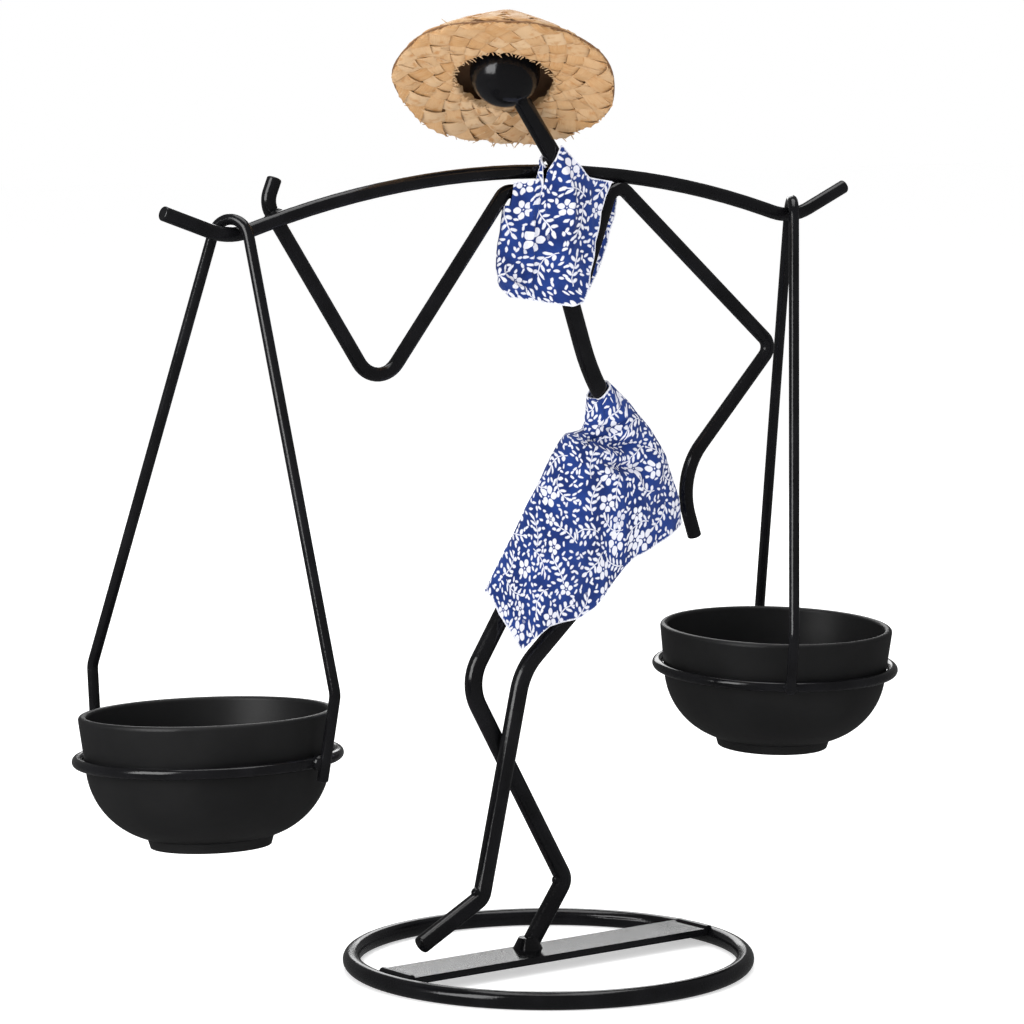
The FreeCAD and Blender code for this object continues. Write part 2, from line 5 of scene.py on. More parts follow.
import bmesh
import bpy
import numpy as np
from mathutils import Matrix, Vector
from mathutils.bvhtree import BVHTree


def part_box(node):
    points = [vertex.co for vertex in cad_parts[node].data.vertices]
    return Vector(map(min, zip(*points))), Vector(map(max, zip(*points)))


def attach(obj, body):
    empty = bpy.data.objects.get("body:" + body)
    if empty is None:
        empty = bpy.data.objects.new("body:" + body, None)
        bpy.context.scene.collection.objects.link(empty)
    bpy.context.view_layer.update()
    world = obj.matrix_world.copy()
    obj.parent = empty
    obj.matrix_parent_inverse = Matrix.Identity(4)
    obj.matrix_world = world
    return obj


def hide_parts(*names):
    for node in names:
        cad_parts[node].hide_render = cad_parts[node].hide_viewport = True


# A wire figure that carries two bowls.  Lengths below are in millimetres unless a name says
# otherwise, and MM turns them into the scene's metres.

MM = 0.001
TO_MM = 1 / MM
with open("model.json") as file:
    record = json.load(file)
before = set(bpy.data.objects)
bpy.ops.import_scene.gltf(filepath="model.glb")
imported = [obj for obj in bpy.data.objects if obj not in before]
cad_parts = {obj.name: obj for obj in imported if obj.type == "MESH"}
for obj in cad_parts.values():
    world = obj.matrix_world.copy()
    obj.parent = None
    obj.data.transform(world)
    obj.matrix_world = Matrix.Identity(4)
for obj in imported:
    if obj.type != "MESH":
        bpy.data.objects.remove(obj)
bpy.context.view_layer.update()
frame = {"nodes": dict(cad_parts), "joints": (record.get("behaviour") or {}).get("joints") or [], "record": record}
nodes = frame["nodes"]


# ---------------------------------------------------------------- node graphs written as sums

class Graph:
    """A material's node tree, with sockets that add, multiply and compare like numbers."""

    def __init__(self, name):
        self.material = bpy.data.materials.new(name)
        self.material.use_nodes = True
        self.tree = self.material.node_tree
        self.shader = self.tree.nodes["Principled BSDF"]

    def node(self, kind, **settings):
        made = self.tree.nodes.new(f"ShaderNode{kind}")
        for key, value in settings.items():
            setattr(made, key, value)
        return made

    def link(self, value, socket):
        """Feed a socket from another socket or set it to a constant."""
        if isinstance(value, Signal):
            value = value.socket
        if isinstance(value, bpy.types.NodeSocket):
            self.tree.links.new(value, socket)
        elif isinstance(value, (tuple, list)) and len(socket.default_value) == 4:
            socket.default_value = (*value[:3], 1.0)
        else:
            socket.default_value = value

    def math(self, operation, *values):
        made = self.node("Math", operation=operation)
        for socket, value in zip(made.inputs, values):
            self.link(value, socket)
        return Signal(self, made.outputs[0])

    def uv(self, name):
        return self.node("UVMap", uv_map=name).outputs["UV"]

    def place(self):
        """The point in the part's own frame at rest."""
        return self.node("TexCoord").outputs["Object"]

    def split(self, vector):
        made = self.node("SeparateXYZ")
        self.link(vector, made.inputs[0])
        return [Signal(self, out) for out in made.outputs]

    def join(self, *values):
        made = self.node("CombineXYZ")
        for socket, value in zip(made.inputs, values):
            self.link(value, socket)
        return made.outputs[0]

    def scaled(self, vector, scale):
        made = self.node("Mapping")
        self.link(vector, made.inputs["Vector"])
        made.inputs["Scale"].default_value = scale
        return made.outputs[0]

    def noise(self, vector, scale, detail=3.0, roughness=0.5):
        made = self.node("TexNoise")
        self.link(vector, made.inputs["Vector"])
        made.inputs["Scale"].default_value = scale
        made.inputs["Detail"].default_value = detail
        made.inputs["Roughness"].default_value = roughness
        return Signal(self, made.outputs["Fac"])

    def attribute(self, name):
        return Signal(self, self.node("Attribute", attribute_name=name).outputs["Fac"])

    def band(self, value, low, high, to_low=0.0, to_high=1.0):
        """A smooth step from to_low to to_high while the value goes from low to high."""
        made = self.node("MapRange", interpolation_type="SMOOTHSTEP")
        for socket, number in zip(made.inputs, (value, low, high, to_low, to_high)):
            self.link(number, socket)
        return Signal(self, made.outputs[0])

    def mix(self, factor, first, second):
        made = self.node("Mix", data_type="RGBA")
        self.link(factor, made.inputs["Factor"])
        self.link(first, made.inputs[6])
        self.link(second, made.inputs[7])
        return made.outputs[2]

    def bump(self, height, distance, strength=1.0):
        """Relief of the given depth in metres."""
        made = self.node("Bump")
        self.link(height, made.inputs["Height"])
        made.inputs["Distance"].default_value = distance
        made.inputs["Strength"].default_value = strength
        self.tree.links.new(made.outputs[0], self.shader.inputs["Normal"])

    def set(self, **values):
        for name, value in values.items():
            self.link(value, self.shader.inputs[name.replace("_", " ")])


class Signal:
    """One value in a graph."""

    def __init__(self, graph, socket):
        self.graph, self.socket = graph, socket

    def __add__(self, other):
        return self.graph.math("ADD", self, other)

    def __sub__(self, other):
        return self.graph.math("SUBTRACT", self, other)

    def __rsub__(self, other):
        return self.graph.math("SUBTRACT", other, self)

    def __mul__(self, other):
        return self.graph.math("MULTIPLY", self, other)

    def __truediv__(self, other):
        return self.graph.math("DIVIDE", self, other)

    def lower(self, other):
        return self.graph.math("MINIMUM", self, other)

    def higher(self, other):
        return self.graph.math("MAXIMUM", self, other)

    def size(self):
        return self.graph.math("ABSOLUTE", self)

    def cos(self):
        return self.graph.math("COSINE", self)

    def sin(self):
        return self.graph.math("SINE", self)

    def part(self):
        return self.graph.math("FRACT", self)


# ---------------------------------------------------------------- materials

def paint_black():
    """Gloss black paint on rod, with faint orange peel and slightly duller patches."""
    g = Graph("black_paint")
    spot = g.place()
    haze = g.noise(spot, 90, 3)
    peel = g.noise(spot, 1400, 2)
    specks = g.noise(spot, 5200, 1)
    g.set(
        Base_Color=g.mix(g.band(haze, 0.35, 0.7), (0.004, 0.004, 0.0045), (0.006, 0.006, 0.007)),
        Roughness=g.band(haze, 0.3, 0.75, 0.10, 0.19) + g.band(specks, 0.62, 0.72, 0, 0.08),
        Specular_IOR_Level=0.36,
    )
    g.bump(peel + specks * 0.3, 0.00005, 0.5)
    return g.material


def bowl_black():
    """Matte charcoal finish with a fine grain and faint turning marks."""
    g = Graph("bowl_black")
    spot = g.place()
    _, _, z = g.split(spot)
    cloud = g.noise(spot, 45, 4)
    grain = g.noise(spot, 3200, 2)
    rings = g.noise(g.join(0.0, 0.0, z * 900), 1.0, 2)
    g.set(
        Base_Color=g.mix(g.band(cloud, 0.3, 0.75), (0.0062, 0.0062, 0.0066), (0.009, 0.009, 0.0094)),
        Roughness=g.band(cloud, 0.3, 0.8, 0.42, 0.54),
        Specular_IOR_Level=0.3,
    )
    g.bump(grain * 0.6 + rings * 0.5, 0.00006, 0.5)
    return g.material


MOTIF_CUT = 10.0      # how sharply a motif that has no room is dropped


def motif_cell(g, point, cell, randomness, shift):
    """The nearest motif's centre, the point in that motif's own turned axes, and a random value."""
    offset = (shift, shift * 1.7, 0)
    moved = g.node("VectorMath", operation="MULTIPLY_ADD")
    g.link(point, moved.inputs[0])
    moved.inputs[1].default_value = (1 / cell,) * 3
    moved.inputs[2].default_value = offset
    pick = g.node("TexVoronoi", voronoi_dimensions="2D")
    g.link(moved.outputs[0], pick.inputs["Vector"])
    pick.inputs["Scale"].default_value = 1.0
    pick.inputs["Randomness"].default_value = randomness
    back = g.node("VectorMath", operation="SUBTRACT")
    g.link(pick.outputs["Position"], back.inputs[0])
    back.inputs[1].default_value = offset
    centre = g.node("VectorMath", operation="SCALE")
    g.link(back.outputs[0], centre.inputs[0])
    centre.inputs["Scale"].default_value = cell
    px, py, _ = g.split(point)
    cx, cy, _ = g.split(centre.outputs[0])
    _, turn, chance = g.split(pick.outputs["Color"])
    angle = turn * (2 * math.pi)
    dx, dy = px - cx, py - cy
    across = dx * angle.cos() + dy * angle.sin()
    up = dy * angle.cos() - dx * angle.sin()
    return centre.outputs[0], across, up, chance


def oval(g, across, up, centre, long_half, short_half, turn=0.0):
    """Signed distance, roughly, to a turned oval; negative inside."""
    dx, dy = across - centre[0], up - centre[1]
    c, s = math.cos(turn), math.sin(turn)
    u = (dx * c + dy * s) * (1 / long_half)
    v = (dy * c - dx * s) * (1 / short_half)
    return (g.math("SQRT", u * u + v * v) - 1.0) * short_half


def sprig(g, point):
    """A curved stem with pairs of leaves and one at its end."""
    stem_half, leafy_half, thickness, step = 4.4, 3.9, 0.17, 1.95
    _, across, up, bend = motif_cell(g, point, cell=10.5, randomness=0.5, shift=3.3)
    up = up - (bend - 0.5) * 0.2 * across * across
    stem = (up.size() - thickness).higher(across.size() - stem_half)
    along = (across * (1 / step)).part() * step - step / 2
    leaf = oval(g, along, up.size(), (0.15, 1.02), long_half=1.0, short_half=0.46, turn=0.95)
    end = oval(g, across, up, (4.9, 0.0), long_half=1.1, short_half=0.55)
    return stem.lower(leaf.higher(across.size() - leafy_half)).lower(end)


def flower(g, point):
    """Five round petals about a dark eye, in several sizes, clear of the sprigs."""
    eye_radius, dot_radius, room = 0.62, 0.26, 1.55
    centre, across, up, chance = motif_cell(g, point, cell=6.6, randomness=0.5, shift=7.9)
    scale = chance * 0.6 + 0.72
    across, up = across / scale, up / scale
    far = g.math("SQRT", across * across + up * up)
    angle = g.math("ARCTAN2", up, across)
    fifth = 2 * math.pi / 5
    folded = ((angle * (1 / fifth)).part() - 0.5) * fifth
    petal = oval(g, far * folded.cos(), far * folded.sin(), (1.78, 0.0), long_half=1.08, short_half=0.88)
    shape = petal.higher(eye_radius - far).lower(far - dot_radius) * scale
    return shape.higher((room - sprig(g, centre)) * MOTIF_CUT)


def seed(g, point):
    """Small loose leaves that fill the gaps between the larger motifs."""
    room = 0.55
    centre, across, up, _ = motif_cell(g, point, cell=1.95, randomness=0.8, shift=1.1)
    leaf = oval(g, across, up, (0.0, 0.0), long_half=0.78, short_half=0.38)
    clear = sprig(g, centre).lower(flower(g, centre))
    return leaf.higher((room - clear) * MOTIF_CUT)


def cotton_print():
    """Blue cotton with an off-white print of flowers, sprigs and loose leaves."""
    g = Graph("cotton_print")
    u, v, _ = g.split(g.uv("cloth"))
    u, v = u * TO_MM, v * TO_MM
    raw = g.join(u, v, 0.0)
    wobble = (g.noise(raw, 0.55, 2) - 0.5) * 0.7
    point = g.join(u + wobble, v - wobble, 0.0)
    shape = sprig(g, point).lower(flower(g, point)).lower(seed(g, point))
    ink = g.noise(raw, 5.0, 2)
    white = g.band(shape + (ink - 0.5) * 0.18, -0.09, 0.09, 1, 0)
    fade = g.noise(raw, 0.12, 3)
    blue = g.mix(g.band(fade, 0.3, 0.7), (0.009, 0.024, 0.125), (0.015, 0.042, 0.20))
    cream = g.mix(g.band(ink, 0.3, 0.7), (0.60, 0.61, 0.69), (0.73, 0.735, 0.79))
    fray = g.noise(raw, 1.6, 3)
    raw_hem = g.band(g.attribute("edge_mm") + (fray - 0.5) * 1.2, 0.25, 0.6, 1, 0)
    thread_spacing = 0.42
    thread = math.pi / thread_spacing
    weave = (u * thread).sin() * (v * thread).sin()
    slub = g.noise(g.scaled(raw, (1.0, 0.12, 1)), 2.2, 2)
    g.set(
        Base_Color=g.mix(raw_hem * 0.85, g.mix(white, blue, cream), (0.72, 0.73, 0.79)),
        Roughness=g.band(slub, 0.3, 0.7, 0.78, 0.9),
        Specular_IOR_Level=0.12,
        Sheen_Weight=0.06,
        Sheen_Roughness=0.5,
    )
    g.bump(weave * 0.5 + slub * 0.8, 0.00006, 0.6)
    return g.material


def straw():
    """Flat straw with long fibres, aged patches and a tone of its own for each strip."""
    g = Graph("straw")
    u, v, _ = g.split(g.uv("strip"))
    tone = g.attribute("tone")
    fibres = g.noise(g.join(u * 260, v * 5200, tone * 40), 1.0, 3, 0.6)
    blotch = g.noise(g.join(u * 420, v * 600, tone * 60), 1.0, 3)
    pale = g.mix(tone, (0.64, 0.36, 0.135), (0.88, 0.70, 0.45))
    aged = g.mix(g.band(blotch, 0.5, 0.72), pale, (0.56, 0.27, 0.08))
    streaked = g.mix(g.band(fibres, 0.38, 0.72) * 0.5, aged, (0.90, 0.74, 0.50))
    weathered = g.mix(0.6, streaked, (0.30, 0.13, 0.035))
    g.set(
        # The shade attribute paints shade: it is 0 on the strips, and on the skin behind them it darkens the straw
        # towards near-black brown as the shadow seen through the gaps.
        Base_Color=g.mix(g.attribute("shade"), weathered, (0.10, 0.036, 0.012)),
        Roughness=g.band(fibres, 0.3, 0.7, 0.42, 0.62),
        Specular_IOR_Level=0.4,
    )
    g.bump(fibres, 0.00022, 0.55)
    return g.material


MATERIALS = {
    "black_paint": paint_black(),
    "bowl_black": bowl_black(),
    "straw": straw(),
    "cotton_print": cotton_print(),
}


def dress_cad_nodes():
    """Give every carried-over node its finish."""
    for part in frame["record"]["subparts"]:
        made = nodes[part["node"]]
        for slot in made.material_slots:
            slot.material = MATERIALS[part["material_slot"]]


# ---------------------------------------------------------------- mesh helpers

def new_mesh(name, points, faces, uv_name, uvs, floats, slot):
    """A smooth-shaded piece from millimetre points, with a UV map and float attributes per point."""
    mesh = bpy.data.meshes.new(name)
    mesh.from_pydata([tuple(Vector(p) * MM) for p in points], [], faces)
    mesh.validate()
    layer = mesh.uv_layers.new(name=uv_name)
    for loop in mesh.loops:
        layer.data[loop.index].uv = Vector(uvs[loop.vertex_index]) * MM
    for key, values in floats.items():
        attribute = mesh.attributes.new(key, "FLOAT", "POINT")
        attribute.data.foreach_set("value", np.asarray(values, np.float32))
    mesh.polygons.foreach_set("use_smooth", [True] * len(mesh.polygons))
    made = bpy.data.objects.new(name, mesh)
    bpy.context.scene.collection.objects.link(made)
    mesh.materials.append(MATERIALS[slot])
    return made


def thicken(made, thickness, sharp_angle=None):
    """Give a sheet its thickness, half to each side, and mark the edges sharper than an angle."""
    modifier = made.modifiers.new("SOLIDIFY", "SOLIDIFY")
    modifier.thickness = thickness * MM
    modifier.offset = 0.0
    bpy.context.view_layer.objects.active = made
    bpy.ops.object.modifier_apply(modifier=modifier.name)
    if sharp_angle is not None:
        made.data.set_sharp_from_angle(angle=math.radians(sharp_angle))


def solid_tree(names):
    """A ray-cast tree, in millimetres, of several nodes."""
    points, faces = [], []
    for name in names:
        mesh = nodes[name].data
        start = len(points)
        points += [vertex.co / MM for vertex in mesh.vertices]
        faces += [[start + index for index in face.vertices] for face in mesh.polygons]
    return BVHTree.FromPolygons(points, faces)


def along_x(points, count):
    """Points on a polyline, evenly spaced in X."""
    xs, zs = zip(*points)
    across = np.linspace(xs[0], xs[-1], count)
    return np.stack([across, np.interp(across, xs, zs)], axis=1)


def along_z(points, count):
    """Points on a polyline, evenly spaced in Z."""
    xs, zs = zip(*points)
    up = np.linspace(zs[0], zs[-1], count)
    return np.stack([np.interp(up, zs, xs), up], axis=1)


def patch(bottom, top, left, right, columns, rows):
    """A grid of (x, z) points that blends four outlines: rows by columns."""
    low, high = along_x(bottom, columns), along_x(top, columns)
    near, far = along_z(left, rows), along_z(right, rows)
    a = np.linspace(0, 1, columns)[None, :, None]
    b = np.linspace(0, 1, rows)[:, None, None]
    between = (1 - b) * low[None] + b * high[None] + (1 - a) * near[:, None] + a * far[:, None]
    corners = (
        (1 - a) * (1 - b) * low[0] + a * (1 - b) * low[-1] + (1 - a) * b * high[0] + a * b * high[-1]
    )
    return between - corners


def rod_depth(tree, grid, way, spread):
    """Depth of the nearest rod surface seen along Y, or nothing where there is no rod."""
    depth = np.full(grid.shape[:2], np.nan)
    clear = 60.0
    for index in np.ndindex(depth.shape):
        x, z = grid[index]
        hits = []
        for dx, dz in ((0, 0), (spread, 0), (-spread, 0), (0, spread), (0, -spread)):
            start = Vector((x + dx, -clear * way, z + dz))
            hit = tree.ray_cast(start, Vector((0, way, 0)), 2 * clear)[0]
            if hit is not None:
                hits.append(hit.y)
        if hits:
            depth[index] = min(hits) if way > 0 else max(hits)
    return depth


def off_rods(depth, rods, way):
    """Move a sheet's points that come too near the rods to where they just clear them."""
    far = 1e3
    limit = np.where(np.isnan(rods), way * far, rods - way * (CLOTH_GAP + CLOTH / 2))
    return np.minimum(depth, limit) if way > 0 else np.maximum(depth, limit)


def drape(depth, rods, way, held):
    """Stretch a sheet over the rods: each point moves to the mean of its neighbours, off the rods."""
    for _ in range(DRAPE_ROUNDS):
        padded = np.pad(depth, 1, mode="edge")
        mean = (padded[:-2, 1:-1] + padded[2:, 1:-1] + padded[1:-1, :-2] + padded[1:-1, 2:]) / 4
        depth = np.where(held, depth, off_rods(mean, rods, way))
    return depth


def ripple(grid, waves, amount):
    """Soft waves: each is a direction in degrees, a wavelength and a phase."""
    height = np.zeros(grid.shape[:2])
    for direction, length, phase in waves:
        way = math.radians(direction)
        along = grid[..., 0] * math.cos(way) + grid[..., 1] * math.sin(way)
        height += np.sin(2 * math.pi * along / length + phase)
    return height * amount / len(waves)


def crease(grid, points, width, depth):
    """A fold that runs along a polyline and fades out at both ends."""
    best = np.full(grid.shape[:2], 1e9)
    fade = np.zeros(grid.shape[:2])
    spots = np.array(points, float)
    lengths = np.linalg.norm(np.diff(spots, axis=0), axis=1)
    total, done = lengths.sum(), 0.0
    for start, end, length in zip(spots, spots[1:], lengths):
        way = (end - start) / length
        t = np.clip((grid - start) @ way, 0, length)
        gap = np.linalg.norm(grid - (start + t[..., None] * way), axis=-1)
        closer = gap < best
        best = np.where(closer, gap, best)
        fade = np.where(closer, np.sin(math.pi * (0.12 + 0.76 * (done + t) / total)), fade)
        done += length
    return -depth * fade * np.exp(-(best / width) ** 2)


# ---------------------------------------------------------------- cloth

CLOTH = 0.45          # thickness of the cotton
CLOTH_GAP = 0.35      # clear space between the cloth's near face and a rod
CLOTH_CORNER = 50     # edges of the cloth that turn by more degrees than this are sharp
DRAPE_ROUNDS = 900
SLANT = 0.77          # how far an outline moves in X for each millimetre of depth


def depth_shift(points, depth):
    """Outlines are drawn as they line up with the plane Y = 0; move them to their real depth."""
    return [(x + SLANT * depth, z) for x, z in points]


def run_length(points, axis):
    """For each point of a grid, the distance along the cloth from the grid's first row or column."""
    steps = np.linalg.norm(np.diff(points, axis=axis), axis=-1)
    return np.insert(np.cumsum(steps, axis), 0, 0.0, axis)


def edge_distance(points, free):
    """For each point of a grid, the distance along the cloth to its nearest free edge."""
    from_left, from_low = run_length(points, 1), run_length(points, 0)
    ways = {
        "left": from_left, "right": from_left[:, -1:] - from_left,
        "low": from_low, "top": from_low[-1:] - from_low,
    }
    return np.minimum.reduce([ways[side] for side in free])


def grid_faces(rows, columns, keep=None, start=0, around=False):
    """Quads of a grid, without those that keep says to leave out."""
    faces = []
    for r in range(rows - 1):
        for c in range(columns if around else columns - 1):
            if keep is not None and not keep[r, c]:
                continue
            a, b = start + r * columns + c, start + r * columns + (c + 1) % columns
            faces.append((a, b, b + columns, a + columns))
    return faces


def cloth_piece(name, points, uvs, free, keep=None, seam=False):
    """A thin sheet of printed cotton from a grid of points, with its area in square metres."""
    rows, columns = points.shape[:2]
    made = new_mesh(
        name, points.reshape(-1, 3), grid_faces(rows, columns, keep), "cloth",
        uvs.reshape(-1, 2), {"edge_mm": edge_distance(points, free).ravel()}, "cotton_print",
    )
    loose = bmesh.new()
    loose.from_mesh(made.data)
    stray = [vertex for vertex in loose.verts if not vertex.link_faces]
    bmesh.ops.delete(loose, geom=stray, context="VERTS")
    if seam:
        bmesh.ops.remove_doubles(loose, verts=loose.verts, dist=0.02 * MM)
    loose.to_mesh(made.data)
    loose.free()
    area = sum(polygon.area for polygon in made.data.polygons)
    thicken(made, CLOTH, CLOTH_CORNER)
    return made, area


BLOUSE_TOP = [
    (-11.6, 218.6), (-5.4, 219.4), (-3.6, 225.0), (-3.9, 214.5), (-2.2, 222.0), (1.1, 228.8),
    (4.8, 225.6), (12.6, 219.6), (22.2, 218.2),
]
BLOUSE_LOW = [(-11.6, 187.0), (-3.0, 185.4), (4.6, 184.2), (8.6, 185.2)]
BLOUSE_LEFT = [
    (-11.6, 187.0), (-14.9, 191.0), (-15.6, 195.0), (-14.6, 202.0), (-13.2, 210.0), (-11.6, 218.6),
]
BLOUSE_RIGHT = [
    (8.6, 185.2), (10.2, 189.2), (12.8, 196.4), (17.0, 207.4), (19.3, 214.0), (22.2, 218.2),
]
BLOUSE_BACK_LOW = [(-10.4, 188.6), (-1.8, 187.0), (6.0, 186.2), (15.0, 187.8)]
BLOUSE_BACK_TOP = [
    (-11.6, 217.4), (-4.0, 219.0), (2.0, 223.0), (8.0, 223.0), (15.0, 218.6), (25.2, 216.0),
]
BLOUSE_BACK_LEFT = [(-10.4, 188.6)] + BLOUSE_LEFT[1:-1] + [(-11.6, 217.4)]
BLOUSE_BACK_RIGHT = [(15.0, 187.8), (19.8, 195.5), (24.0, 207.4), (25.1, 212.0), (25.2, 216.0)]
BLOUSE_CREASES = [
    ([(-14.6, 197.0), (-12.9, 192.3), (-8.6, 190.0), (-3.6, 188.8)], 0.8, 1.7),
    ([(4.6, 222), (7.5, 215), (6.8, 206)], 1.2, 1.2),
    ([(14, 217.0), (15.5, 209), (14, 198)], 1.6, 0.8),
    ([(-3.7, 215), (-4.2, 200), (-4.4, 188)], 0.5, 1.1),
]
BLOUSE_WAVES = ((80, 17, 0.4), (20, 11, 1.9), (130, 9, 0.7))
BLOUSE_RODS = ["body_rod", "arm_torso_rod", "carrying_pole", "neck_weld", "torso_weld"]
ARMHOLE_HEIGHT = 212.0


def panel(tree, outlines, depth, way, columns, rows):
    """One side of the blouse: its grid, and each point's depth when stretched over the rods."""
    grid = patch(*[depth_shift(outline, depth) for outline in outlines], columns, rows)
    held = np.zeros((rows, columns), bool)
    held[:, 0] = True
    flat = np.full((rows, columns), depth)
    return grid, drape(flat, rod_depth(tree, grid, way, 0.5), way, held)


def side_turn(front_edge, back_edge, columns, bulge):
    """Columns of points that carry the cloth round from one edge to another."""
    found = []
    for step in range(1, columns + 1):
        angle = math.pi * step / (columns + 1)
        share = (1 - math.cos(angle)) / 2
        spot = (1 - share) * front_edge + share * back_edge
        found.append(spot - np.array([math.sin(angle) * bulge, 0, 0]))
    return np.stack(found, axis=1)


def make_blouse():
    """A halter top: a front panel, a turn round the left of the chest loop, and a back panel."""
    columns, rows, turn = 84, 76, 9
    tree = solid_tree(BLOUSE_RODS)
    outlines = (BLOUSE_LOW, BLOUSE_TOP, BLOUSE_LEFT, BLOUSE_RIGHT)
    grid, front = panel(tree, outlines, 3.4, 1, columns, rows)
    front = front - np.abs(ripple(grid, BLOUSE_WAVES, 0.55))
    for points, width, depth in BLOUSE_CREASES:
        front += crease(grid, points, width, depth)
    front_sheet = np.stack([grid[..., 0], front, grid[..., 1]], axis=-1)

    outlines = (BLOUSE_BACK_LOW, BLOUSE_BACK_TOP, BLOUSE_BACK_LEFT, BLOUSE_BACK_RIGHT)
    behind, back = panel(tree, outlines, 8.4, -1, columns, rows)
    back = back + np.abs(ripple(behind, BLOUSE_WAVES[::-1], 0.6))
    back_sheet = np.stack([behind[..., 0], back, behind[..., 1]], axis=-1)

    wrap = side_turn(front_sheet[:, 0], back_sheet[:, 0], turn, 2.2)
    sheet = np.concatenate([front_sheet[:, ::-1], wrap, back_sheet], axis=1)
    along = run_length(sheet, 1)
    u = along[:, columns - 1:columns] - along
    u[:, :columns] = grid[:, ::-1, 0] - grid[:, :1, 0]
    uvs = np.stack([u, sheet[..., 2]], axis=-1)
    keep = np.ones((rows - 1, sheet.shape[1] - 1), bool)
    beside_arm = slice(columns - 1, columns + turn)
    keep[:, beside_arm] = sheet[:-1, beside_arm, 2] <= ARMHOLE_HEIGHT
    made, area = cloth_piece("halter_top", sheet, uvs, ("left", "right", "low", "top"), keep)
    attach(made, "figure")
    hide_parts("blouse")


SKIRT_TOP = [(15.2, 158.2), (17.6, 160.6), (20.2, 162.8)]
SKIRT_LEFT = [
    (-21.3, 106.4), (-7.0, 127.6), (5.4, 146.0), (7.4, 148.0), (13.8, 148.4), (15.2, 158.2),
]
SKIRT_RIGHT = [
    (47.2, 121.2), (46.0, 128.4), (40.4, 141.0), (34.8, 148.8), (27.2, 157.0), (20.2, 162.8),
]
SKIRT_HEM = [
    (-21.3, 106.4), (-19.6, 101.0), (-13.4, 90.3), (-4.6, 96.4), (6.2, 97.8), (10.8, 100.2),
    (14.8, 104.2), (21.8, 110.6), (25.4, 112.6), (38.6, 117.8), (47.2, 121.2),
]
SKIRT_BACK_HEM = [
    (-21.3, 106.4), (-12.0, 106.0), (0.0, 104.0), (12.0, 106.5), (24.2, 113.0), (38.9, 119.0),
    (47.2, 121.2),
]
SKIRT_FOLDS = [
    ([(13.0, 148.2), (19.0, 145.6), (26.0, 144.6), (33.0, 145.0)], 1.9, 3.6),
    ([(15.0, 143.0), (21.0, 139.6), (28.0, 138.4), (34.0, 139.8)], 1.5, 2.4),
    ([(15.5, 150.8), (22.0, 149.6), (29.0, 150.6)], 1.2, 2.0),
    ([(10.5, 146.6), (15.0, 138.0), (21.0, 131.5)], 1.7, 1.0),
    ([(27.0, 143.0), (31.0, 137.0), (32.5, 129.0)], 1.5, 1.1),
    ([(15.6, 161.5), (15.2, 156.0), (14.6, 150.6)], 0.9, 1.2),
    ([(19.2, 162.5), (20.0, 156.5), (21.0, 151.0)], 1.0, 1.1),
    ([(36.0, 147.0), (39.5, 138.0), (41.0, 129.0)], 1.8, 0.8),
]
SKIRT_BACK_FOLDS = SKIRT_FOLDS[:3] + SKIRT_FOLDS[5:7]
SKIRT_BULGES = [
    (9.5, 143.5, 6.5, 2.6), (36.0, 139.0, 7.0, 2.2), (24.5, 132.0, 8.0, 1.6), (19.0, 155.0, 4.0, 1.4),
    (6.0, 112.0, 12.0, 1.0),
]
SKIRT_WAVES = ((60, 21, 0.2), (150, 15, 1.1), (10, 9.5, 2.0))
SKIRT_FULLNESS = ([0, 0.25, 0.7, 0.86, 1.0], [6.6, 7.4, 7.2, 4.6, 3.6])     # half depth, hem to waist
SKIRT_RODS = ["body_rod", "back_leg", "hip_weld"]


def tube_section(columns, power):
    """0 at both edges and 1 in the middle, with the round shoulders of a flattened tube."""
    a = np.abs(2 * np.linspace(0, 1, columns) - 1)
    return (1 - a ** power) ** (1 / power)


def skirt_uvs(sheet, columns):
    """Lengths along the cloth, measured from the middle of the front and from half way up."""
    middle, half_up = columns // 2, sheet.shape[0] // 2
    along, climb = run_length(sheet, 1), run_length(sheet, 0)
    across = sheet[:, middle, 0:1] - (along - along[:, middle:middle + 1])
    level = sheet[half_up:half_up + 1, :, 2] - climb[half_up:half_up + 1]
    return np.stack([across, level + climb], axis=-1)


def make_skirt():
    """A wrap skirt: a flattened tube round both thighs, gathered into a narrow neck at the waist."""
    columns, rows = 110, 100
    tree = solid_tree(SKIRT_RODS)
    middle = 2.2
    hem, *sides = [depth_shift(o, middle) for o in (SKIRT_HEM, SKIRT_TOP, SKIRT_LEFT, SKIRT_RIGHT)]
    grid = patch(hem, *sides, columns, rows)
    fullness = np.interp(np.linspace(0, 1, rows), *SKIRT_FULLNESS)[:, None]
    section = tube_section(columns, 2.6)[None, :]
    front = middle - fullness * section
    for x, z, reach, push in SKIRT_BULGES:
        away = ((grid[..., 0] - x) ** 2 + (grid[..., 1] - z) ** 2) / reach ** 2
        front -= push * np.exp(-away) * section
    for points, width, depth in SKIRT_FOLDS:
        front -= crease(grid, depth_shift(points, -2.0), width, depth)
    front += ripple(grid, SKIRT_WAVES, 0.7) * section
    front = off_rods(front, rod_depth(tree, grid, 1, 0.6), 1)
    front_sheet = np.stack([grid[..., 0], front, grid[..., 1]], axis=-1)

    behind = patch(depth_shift(SKIRT_BACK_HEM, middle), *sides, columns, rows)
    back = middle + (fullness - 0.8) * section
    back += ripple(behind, SKIRT_WAVES[::-1], 0.8) * section
    for points, width, depth in SKIRT_BACK_FOLDS:
        back += crease(behind, depth_shift(points, 5.0), width * 1.2, depth * 0.7)
    back = off_rods(back, rod_depth(tree, behind, -1, 0.6), -1)
    back_sheet = np.stack([behind[..., 0], back, behind[..., 1]], axis=-1)

    sheet = np.concatenate([front_sheet[:, ::-1], back_sheet[:, 1:]], axis=1)
    made, area = cloth_piece("wrap_skirt", sheet, skirt_uvs(sheet, columns), ("low", "top"), seam=True)
    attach(made, "figure")
    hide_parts("skirt")


